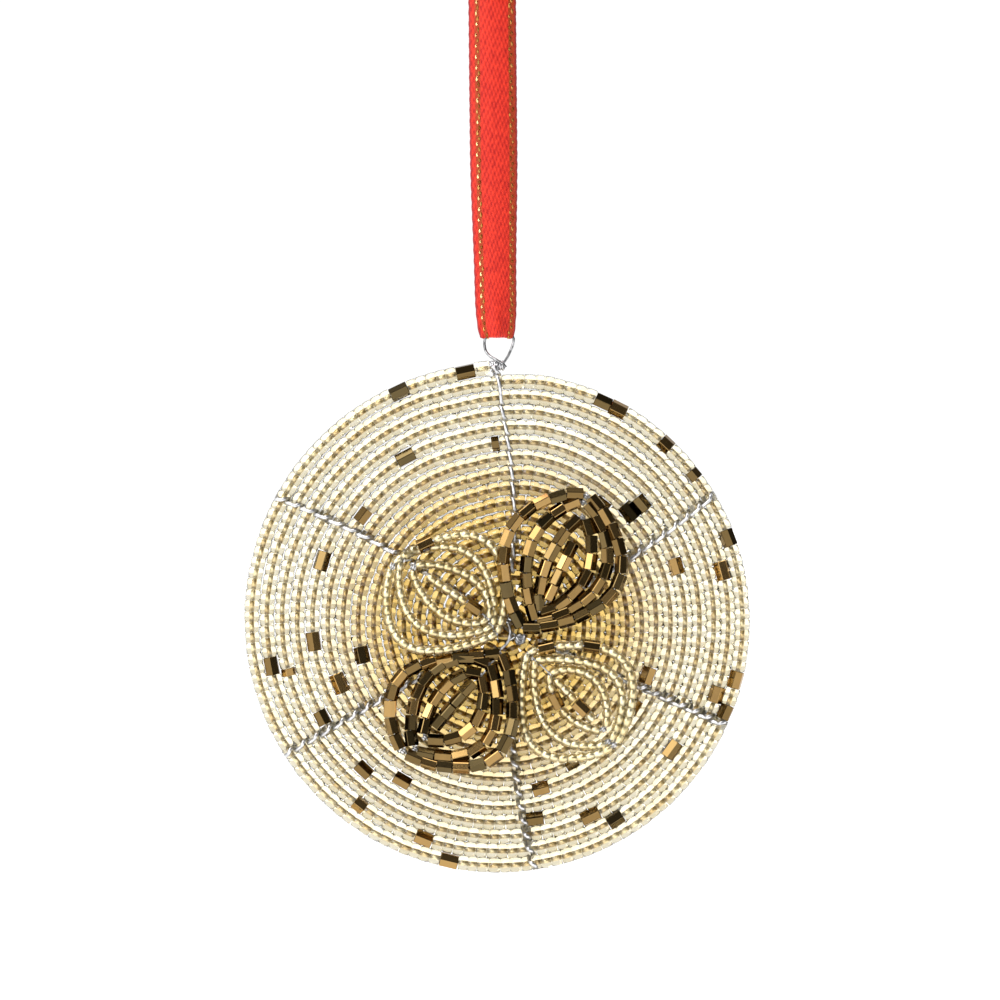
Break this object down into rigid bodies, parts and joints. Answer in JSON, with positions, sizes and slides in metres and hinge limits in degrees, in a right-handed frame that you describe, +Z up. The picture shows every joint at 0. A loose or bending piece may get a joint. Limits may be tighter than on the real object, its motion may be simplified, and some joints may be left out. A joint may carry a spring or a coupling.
{
  "type": "beaded flower ornament",
  "caption": "Flat hanging disc of one coiled seed-bead strand, bound by wire spokes, with a four-petal beaded flower on its front and a ribbon loop.",
  "frame": {"origin": "inside the top fold of the ribbon loop, where a hook or twig carries it", "axes": "+Z up along the ribbon, -Y out of the disc's flower side, +X to the right seen from the front"},
  "size_m": [0.0721, 0.0105, 0.1288],
  "materials": {
    "pale_glass_beads": "clear pale champagne glass with a silver lining, small and glossy",
    "bronze_beads": "hexagonal cut glass beads with a brown bronze metallic coat, sharp glossy facets",
    "silver_wire": "thin bright silver-coloured craft wire, twisted",
    "red_ribbon": "bright red ribbed woven ribbon with a gold metallic thread near each edge"
  },
  "bodies": {
    "root": {"accent_bead_01": "bronze_beads", "accent_bead_02": "bronze_beads", "accent_bead_03": "bronze_beads", "accent_bead_04": "bronze_beads", "accent_bead_05": "bronze_beads", "accent_bead_06": "bronze_beads", "accent_bead_07": "bronze_beads", "accent_bead_08": "bronze_beads", "accent_bead_09": "bronze_beads", "accent_bead_10": "bronze_beads", "accent_bead_11": "bronze_beads", "accent_bead_12": "bronze_beads", "accent_bead_13": "bronze_beads", "accent_bead_14": "bronze_beads", "accent_bead_15": "bronze_beads", "accent_bead_16": "bronze_beads", "accent_bead_17": "bronze_beads", "accent_bead_18": "bronze_beads", "accent_bead_19": "bronze_beads", "accent_bead_20": "bronze_beads", "accent_bead_21": "bronze_beads", "accent_bead_22": "bronze_beads", "accent_bead_23": "bronze_beads", "accent_bead_24": "bronze_beads", "accent_bead_25": "bronze_beads", "accent_bead_26": "bronze_beads", "accent_bead_27": "bronze_beads", "accent_bead_28": "bronze_beads", "accent_bead_29": "bronze_beads", "bead_coil": "pale_glass_beads", "hanging_eye": "silver_wire", "hub_binding": "silver_wire", "petal_bronze_lower_left": "bronze_beads", "petal_bronze_upper_right": "bronze_beads", "petal_pale_lower_right": "pale_glass_beads", "petal_pale_upper_left": "pale_glass_beads", "ribbon_loop": "red_ribbon", "spoke_wire_bottom": "silver_wire", "spoke_wire_left_lower": "silver_wire", "spoke_wire_left_upper": "silver_wire", "spoke_wire_right_lower": "silver_wire", "spoke_wire_right_upper": "silver_wire", "spoke_wire_top": "silver_wire"}
  },
  "joints": []
}
